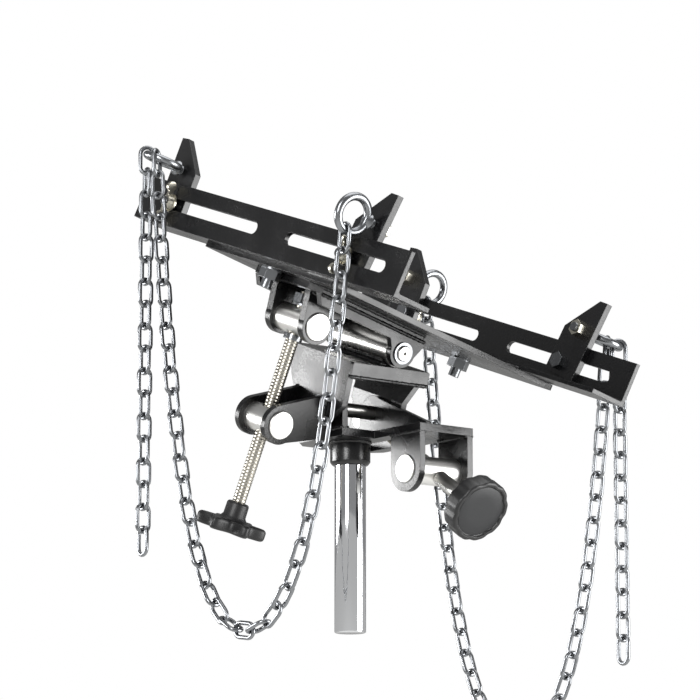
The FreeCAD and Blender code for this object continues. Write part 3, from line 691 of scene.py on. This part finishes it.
SADDLE_SEAMS = [
    [(-100, -50.4, 103.6), (22, -50.4, 103.6)], [(-100, 50.4, 103.6), (22, 50.4, 103.6)],
    [(-101, -50.4, 109.4), (20, -50.4, 109.4)], [(28.4, -40, 109.4), (28.4, 40, 109.4)],
    [(-96, -29.3, 103.4), (-54, -29.3, 103.4)], [(-131.6, -99, 114.9), (-131.6, -60, 114.9)],
    [(-106.6, -98, 115), (-106.6, -40, 115)], [(-106.6, 40, 115), (-106.6, 98, 115)],
    [(93.6, -98, 115), (93.6, -40, 115)], [(93.6, 40, 115), (93.6, 98, 115)],
]
print("seams:", len(BASE_SEAMS) + len(YOKE_SEAMS) + len(SADDLE_SEAMS))

# %% [markdown]
# All the seams of one body become one mesh of lines, and one run of the tree turns it into
# beads, so the beads of a body are one painted piece.
# %% Welds
BEAD = {"Pitch": 0.0016, "Radius": 0.0018, "Seed": 7, "Finish": paint}
SEAMS = {"base": (BASE, BASE_SEAMS), "tilt_yoke": (YOKE, YOKE_SEAMS), "saddle": (SADDLE, SADDLE_SEAMS)}
for body, (place, seams) in SEAMS.items():
    points = []
    edges = []
    for seam in seams:
        first = len(points)
        points.extend([place @ Vector(p) for p in seam])
        edges.extend([(i, i + 1) for i in range(first, len(points) - 1)])
    mesh = bpy.data.meshes.new("seams_" + body)
    mesh.from_pydata(points, edges, [])
    item = run_nodes("welds_" + body, mesh, beader, BEAD)
    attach(item, body)
    print("welds on", body, len(item.data.polygons), "faces")

# %% [markdown]
# The floor is pale matt card, far below the head, so that no light throws a hard edge on it
# behind the object, and it reaches far out past every view.
# %% Floor
FLOOR_Z = -1.5
FLOOR_REACH = 60.0
NO_EDGE = 0.0001


def make_floor(level, reach):
    corners = [(-reach, -reach, level), (reach, -reach, level), (reach, reach, level), (-reach, reach, level)]
    pale = material("pale_floor", "#c6c6c4", 0.0, 0.8, edge=NO_EDGE)
    floor = make_object("floor", (corners, [(0, 1, 2, 3)]), pale, Matrix.Identity(4))


make_floor(FLOOR_Z, FLOOR_REACH)
print("floor laid")

# %% [markdown]
# Glossy black is seen by what it reflects, so each soft box stands where a group of faces
# mirrors it towards the camera. The front boxes put a grey sheen on the plates, the low one
# behind lights the left side of the yoke, and the top one lights the rails.
# %% Soft boxes
HEAD_MIDDLE = (0.0, 0.0, 0.22)
SOFT_BOXES = {
    "front_right_box": ((1.5, -1.85, -0.05), (1.6, 1.8), 76),
    "front_left_box": ((-2.1, -1.1, 0.75), (0.7, 1.6), 42),
    "back_left_low_box": ((-1.75, 2.1, 0.42), (1.7, 0.7), 62),
    "top_box": ((0.3, -0.4, 2.4), (2.2, 2.2), 40),
}


def soft_box(name, spot, size, watts):
    light = bpy.data.lights.new(name, "AREA")
    light.shape = "RECTANGLE"
    light.size = size[0]
    light.size_y = size[1]
    light.energy = watts
    item = bpy.data.objects.new(name, light)
    item.location = spot
    item.rotation_euler = (Vector(spot) - Vector(HEAD_MIDDLE)).to_track_quat("Z", "Y").to_euler()
    item.visible_camera = False
    bpy.context.scene.collection.objects.link(item)


for name, (spot, size, watts) in SOFT_BOXES.items():
    soft_box(name, spot, size, watts)
print("soft boxes:", len(SOFT_BOXES))

# %% [markdown]
# The room is white for the eye and for soft fill light, but reflections see it dimmer.
# A fully white room would wash out the black paint and leave the chrome without dark bands.
# %% Room
ROOM_IN_REFLECTIONS = 0.30
ROOM_ELSEWHERE = 1.0


def make_world():
    world = bpy.data.worlds.new("studio")
    bpy.context.scene.world = world
    world.use_nodes = True
    tree = world.node_tree
    tree.nodes.clear()
    shiny = add_node(tree, "ShaderNodeLightPath").outputs["Is Glossy Ray"]
    room = add_node(tree, "ShaderNodeBackground", Color=srgb("#ffffff"), Strength=ROOM_IN_REFLECTIONS)
    white = add_node(tree, "ShaderNodeBackground", Color=srgb("#ffffff"), Strength=ROOM_ELSEWHERE)
    mix = add_node(tree, "ShaderNodeMixShader", Fac=shiny)
    tree.links.new(white.outputs[0], mix.inputs[1])
    tree.links.new(room.outputs[0], mix.inputs[2])
    end = tree.nodes.new("ShaderNodeOutputWorld")
    tree.links.new(mix.outputs[0], end.inputs["Surface"])


make_world()
bpy.context.scene.view_settings.view_transform = "Standard"
print("room ready")
